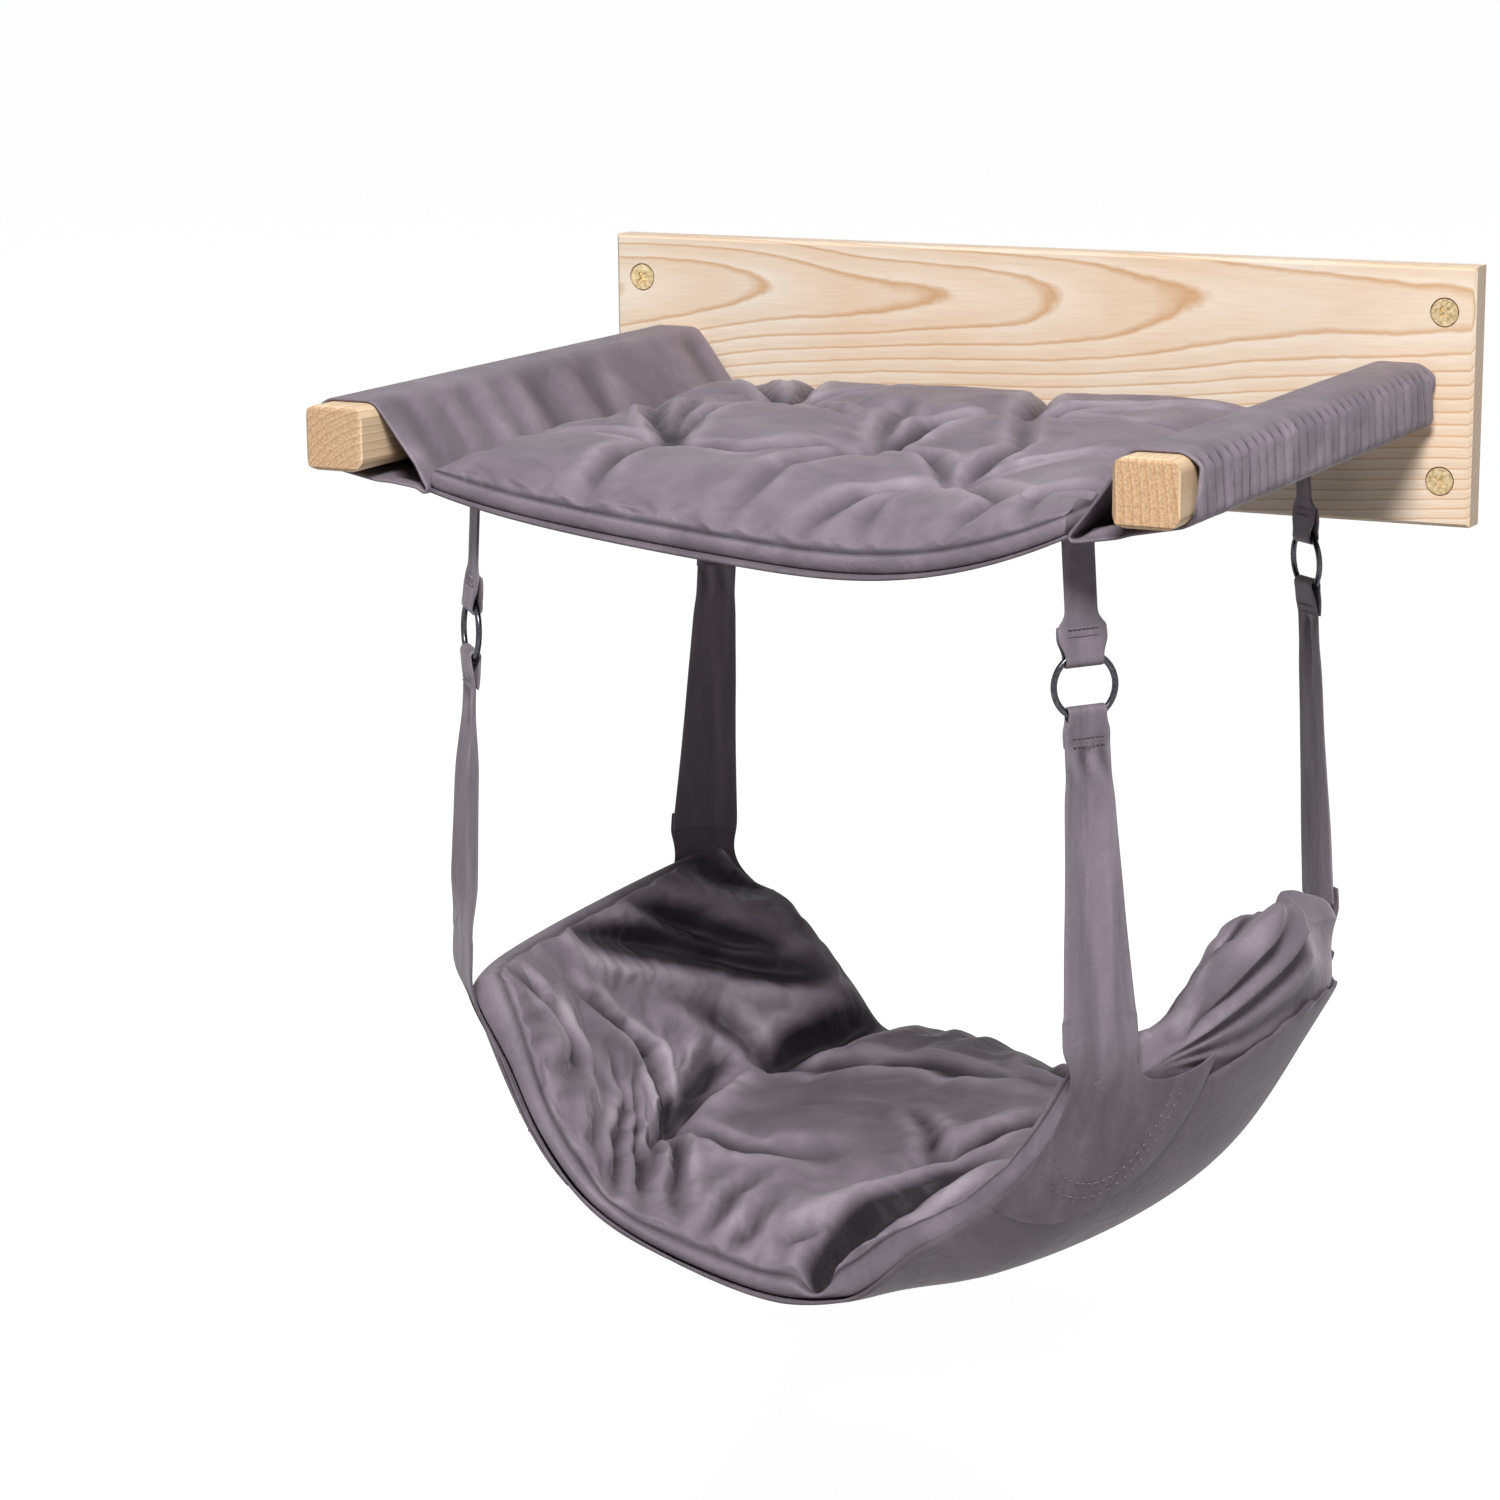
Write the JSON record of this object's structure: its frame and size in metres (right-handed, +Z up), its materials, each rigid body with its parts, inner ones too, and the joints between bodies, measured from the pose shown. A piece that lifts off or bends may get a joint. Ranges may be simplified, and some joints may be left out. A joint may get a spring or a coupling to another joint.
{
  "type": "cat hammock bed",
  "caption": "Wall-mounted two-tier cat hammock: pine board with two arms, tufted velvet hammock between them, and a padded cradle hung below on straps and rings.",
  "frame": {"origin": "centre of the back face of the wall board, which is also the centre of the four wall screws", "axes": "+X right along the wall as seen from the room, +Y into the wall, +Z up; the arms point along -Y"},
  "size_m": [0.55, 0.445, 0.5365],
  "materials": {
    "pine": "planed and sanded pine, clear oiled",
    "velvet": "short-pile mauve-grey velvet",
    "velvet_under": "mauve-grey velvet, panels and webbing",
    "thread": "sewn tuft knots, polyester thread",
    "ring_metal": "steel wire, black-nickel plated, polished",
    "screw_metal": "steel screws, yellow zinc plated"
  },
  "bodies": {
    "wall_frame": {"wall_board": "pine", "left_arm": "pine", "right_arm": "pine", "wall_screws": "screw_metal", "arm_screws": "screw_metal", "upper_sling": "velvet_under", "left_sleeve": "velvet", "right_sleeve": "velvet", "upper_pad": "velvet", "upper_tuft_knots": "thread"},
    "front_straps": {"front_left_upper_strap": "velvet_under", "front_right_upper_strap": "velvet_under", "front_left_lower_strap": "velvet_under", "front_right_lower_strap": "velvet_under"},
    "rear_straps": {"rear_left_upper_strap": "velvet_under", "rear_right_upper_strap": "velvet_under", "rear_left_lower_strap": "velvet_under", "rear_right_lower_strap": "velvet_under"},
    "lower_bed": {"lower_sling": "velvet_under", "lower_pad": "velvet", "lower_tuft_knots": "thread", "front_left_strap_foot": "velvet_under", "front_right_strap_foot": "velvet_under", "rear_left_strap_foot": "velvet_under", "rear_right_strap_foot": "velvet_under"},
    "front_left_ring_body": {"front_left_ring": "ring_metal"},
    "front_right_ring_body": {"front_right_ring": "ring_metal"},
    "rear_left_ring_body": {"rear_left_ring": "ring_metal"},
    "rear_right_ring_body": {"rear_right_ring": "ring_metal"}
  },
  "joints": [
    {"name": "front_swing", "type": "hinge", "parent": "wall_frame", "child": "front_straps", "pos_m": [0, -0.36, -0.04272], "axis": [-1, 0, 0], "range_deg": [-5, 18]},
    {"name": "rear_swing", "type": "hinge", "parent": "wall_frame", "child": "rear_straps", "pos_m": [0, -0.048, -0.0394], "axis": [-1, 0, 0], "range_deg": [-5, 18]},
    {"name": "bed_level", "type": "hinge", "parent": "front_straps", "child": "lower_bed", "pos_m": [0, -0.36, -0.29027], "axis": [-1, 0, 0], "range_deg": [-18, 5]},
    {"name": "front_left_ring_turn", "type": "hinge", "parent": "front_straps", "child": "front_left_ring_body", "pos_m": [-0.17999, -0.36, -0.1086], "axis": [-0.7058, -0.7071, 0.0427], "continuous": true},
    {"name": "front_right_ring_turn", "type": "hinge", "parent": "front_straps", "child": "front_right_ring_body", "pos_m": [0.17999, -0.36, -0.1086], "axis": [0.7058, -0.7071, 0.0427], "continuous": true},
    {"name": "rear_left_ring_turn", "type": "hinge", "parent": "rear_straps", "child": "rear_left_ring_body", "pos_m": [-0.18926, -0.048, -0.0933], "axis": [0.7058, -0.7071, -0.0427], "continuous": true},
    {"name": "rear_right_ring_turn", "type": "hinge", "parent": "rear_straps", "child": "rear_right_ring_body", "pos_m": [0.18926, -0.048, -0.0933], "axis": [-0.7058, -0.7071, -0.0427], "continuous": true}
  ],
  "couplings": [
    {"joint": "rear_swing", "follows": "front_swing", "ratio": 1},
    {"joint": "bed_level", "follows": "front_swing", "ratio": -1}
  ]
}
